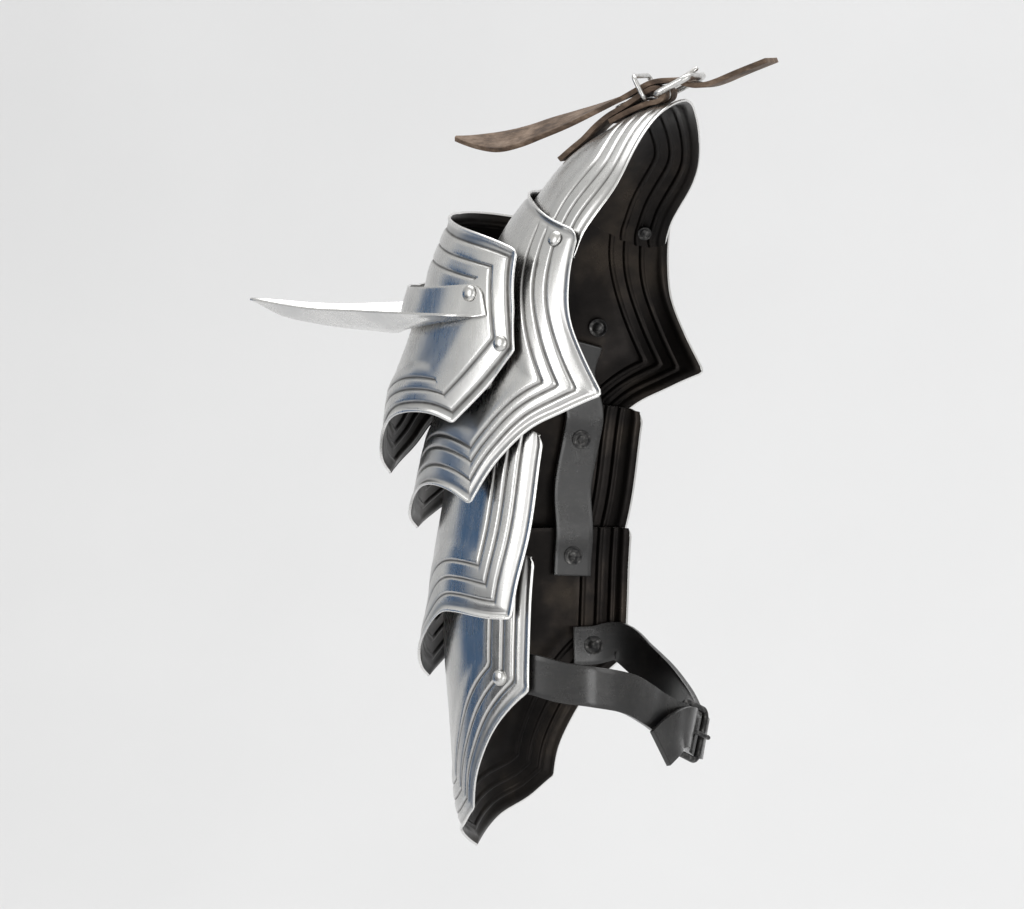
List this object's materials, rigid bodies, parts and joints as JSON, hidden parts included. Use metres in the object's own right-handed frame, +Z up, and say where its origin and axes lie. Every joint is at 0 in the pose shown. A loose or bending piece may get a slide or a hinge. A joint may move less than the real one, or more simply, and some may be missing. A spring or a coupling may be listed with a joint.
{
  "type": "pauldron",
  "caption": "Articulated steel shoulder and upper arm plates with fluted edges, a stand-off plate, a pointed wing, a buckled shoulder strap and an arm strap.",
  "frame": {"origin": "the wearer's shoulder point, under the top plate's middle line", "axes": "+Z up, -X away from the neck along the wearer's right arm side, -Y towards the wearer's front"},
  "size_m": [0.2809, 0.1632, 0.4033],
  "materials": {
    "satin_steel": "satin polished",
    "bright_steel": "bright polished",
    "black_steel": "blackened",
    "brown_leather": "matt, worn",
    "black_leather": "glossy"
  },
  "bodies": {
    "shoulder": {"top_plate": "satin_steel", "chape_strap": "brown_leather", "chape_rivet": "bright_steel", "shoulder_buckle": "bright_steel", "shoulder_prong": "bright_steel", "strap_keeper": "bright_steel", "hanging_strap": "brown_leather"},
    "arm": {"main_plate": "satin_steel", "standoff_plate": "satin_steel", "upper_arm_lame": "satin_steel", "lower_arm_lame": "satin_steel", "wing_blade": "satin_steel", "lame_leather_front": "black_leather", "lame_leather_rear": "black_leather", "arm_strap_front": "black_leather", "arm_strap_rear": "black_leather", "arm_buckle": "black_steel", "arm_prong": "black_steel", "pivot_rivet_front": "bright_steel", "standoff_rivet_front": "bright_steel", "wing_rivet_front": "bright_steel", "leather_rivet_1_front": "bright_steel", "leather_rivet_2_front": "bright_steel", "leather_rivet_3_front": "bright_steel", "arm_strap_rivet_front": "bright_steel", "pivot_rivet_rear": "bright_steel", "standoff_rivet_rear": "bright_steel", "wing_rivet_rear": "bright_steel", "leather_rivet_1_rear": "bright_steel", "leather_rivet_2_rear": "bright_steel", "leather_rivet_3_rear": "bright_steel", "arm_strap_rivet_rear": "bright_steel"}
  },
  "joints": [
    {"name": "arm_swing", "type": "hinge", "parent": "shoulder", "child": "arm", "pos_m": [-0.03029, 0, -0.05908], "axis": [0, 1, 0], "range_deg": [0, 15]}
  ]
}
